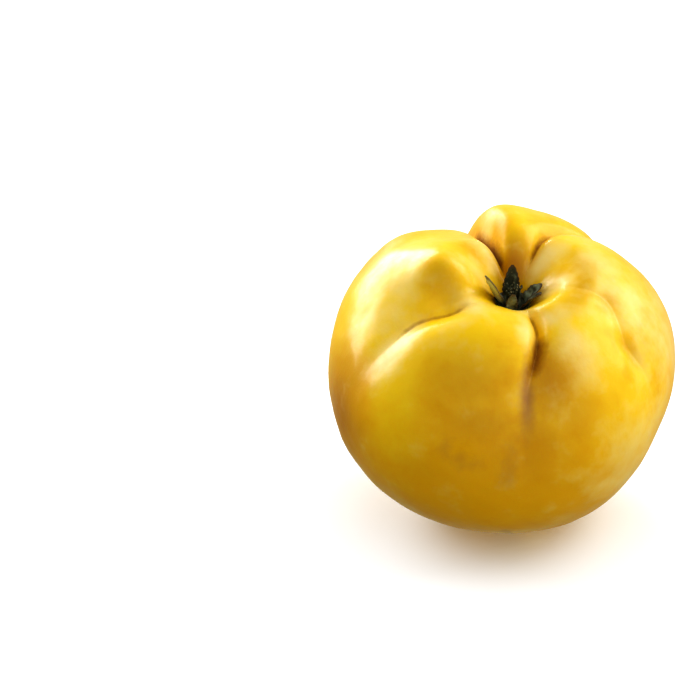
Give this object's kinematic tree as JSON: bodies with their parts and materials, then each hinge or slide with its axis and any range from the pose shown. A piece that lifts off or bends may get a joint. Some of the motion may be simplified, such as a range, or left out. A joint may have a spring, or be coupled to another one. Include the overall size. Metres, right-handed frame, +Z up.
{
  "type": "quince",
  "caption": "Ripe yellow quince standing on its own flat spot, with furrowed lobes, a dried calyx in a deep basin and a short stem underneath.",
  "frame": {"origin": "on the ground, in the flat spot the fruit rests on, straight below the core", "axes": "+Z up; the calyx looks up and leans towards -Y, a little to +X; +X is to the right of someone who faces it"},
  "size_m": [0.0954, 0.0974, 0.0809],
  "materials": {
    "skin": "waxy golden yellow skin with a soft gloss, darker amber in the furrows, faint russet streaks and a few pale bruises",
    "sepal": "dried leafy olive and sage green, dark brown at the edges, matte",
    "stamen": "dried dark brown threads with pale tips, matte",
    "stem": "reddish brown bark with a paler scar, matte"
  },
  "bodies": {
    "root": {"fruit": "skin", "calyx": "sepal", "stamens": "stamen", "stem": "stem"}
  },
  "joints": []
}
